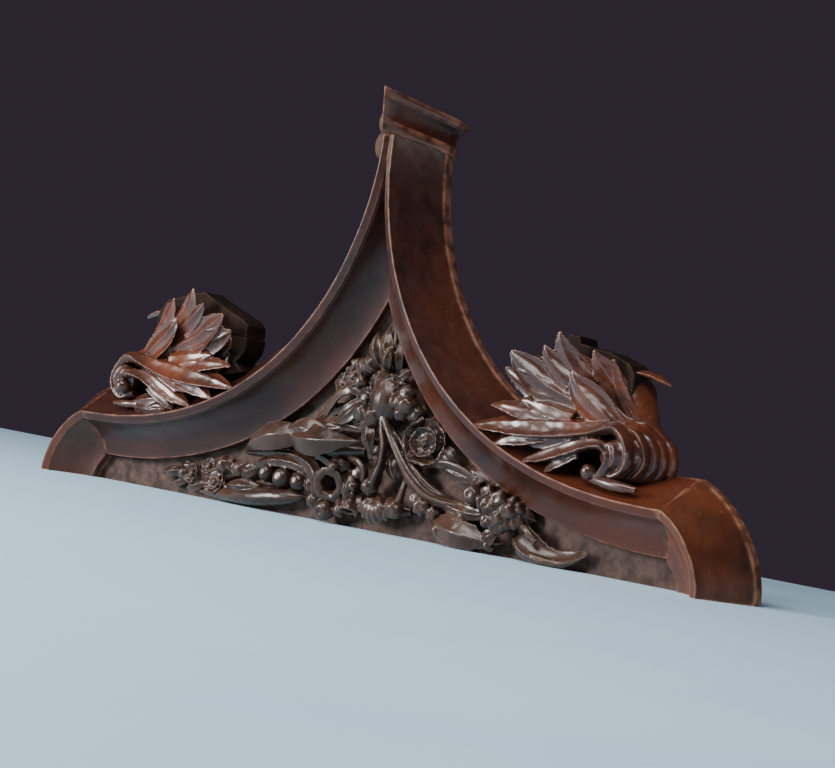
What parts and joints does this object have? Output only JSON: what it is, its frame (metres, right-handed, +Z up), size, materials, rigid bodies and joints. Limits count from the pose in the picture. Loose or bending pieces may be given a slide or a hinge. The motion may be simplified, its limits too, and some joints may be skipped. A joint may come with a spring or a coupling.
{
  "type": "carved wooden pediment",
  "caption": "Carved walnut pediment that crowns a tall cabinet or bed: concave mouldings rise from rounded feet to a capped neck over a foliage-carved board.",
  "frame": {"origin": "middle of the board's lower edge face, on the centre line", "axes": "+X to the viewer's right along the base, +Y to the back, +Z up"},
  "size_m": [1.2902, 0.1219, 0.6102],
  "materials": {
    "polished_walnut": "dark wax-polished walnut, semi-gloss",
    "worn_walnut": "red-brown polished walnut with rubbed, lighter patches",
    "carved_walnut": "carved and polished walnut with worn bright edges",
    "block_walnut": "dark stained walnut block, matt",
    "bouquet_walnut": "grey-brown carved walnut, glossy on the high points",
    "bare_walnut": "unpolished wood, matt"
  },
  "bodies": {
    "root": {"bouquet_bottom_scallops": "bouquet_walnut", "bouquet_curled_leaf": "bouquet_walnut", "bouquet_flower_cluster": "bouquet_walnut", "bouquet_grape_cluster": "bouquet_walnut", "bouquet_left_berries": "bouquet_walnut", "bouquet_left_leaves": "bouquet_walnut", "bouquet_left_roses": "bouquet_walnut", "bouquet_left_tip": "bouquet_walnut", "bouquet_lower_leaf": "bouquet_walnut", "bouquet_pod": "bouquet_walnut", "bouquet_ribbon_loop": "bouquet_walnut", "bouquet_right_branch": "bouquet_walnut", "bouquet_right_rose": "bouquet_walnut", "bouquet_stem_sheaf": "bouquet_walnut", "bouquet_top_bud": "bouquet_walnut", "bouquet_trumpet_flower": "bouquet_walnut", "cap_abacus": "polished_walnut", "cap_bed_fillet": "polished_walnut", "cap_cavetto": "polished_walnut", "finial_dowel": "bare_walnut", "finial_key": "bare_walnut", "left_acanthus_block_lower": "block_walnut", "left_acanthus_block_upper": "block_walnut", "left_acanthus_foot_leaf": "carved_walnut", "left_acanthus_leaf": "carved_walnut", "left_acanthus_volute": "carved_walnut", "left_arm_back_strip": "worn_walnut", "left_arm_moulding": "polished_walnut", "left_foot_back_strip": "worn_walnut", "left_foot_moulding": "worn_walnut", "neck_cleat": "bare_walnut", "right_acanthus_block_lower": "block_walnut", "right_acanthus_block_upper": "block_walnut", "right_acanthus_foot_leaf": "carved_walnut", "right_acanthus_leaf": "carved_walnut", "right_acanthus_volute": "carved_walnut", "right_arm_back_strip": "worn_walnut", "right_arm_moulding": "polished_walnut", "right_foot_back_strip": "worn_walnut", "right_foot_moulding": "worn_walnut", "tympanum_board": "polished_walnut"}
  },
  "joints": []
}
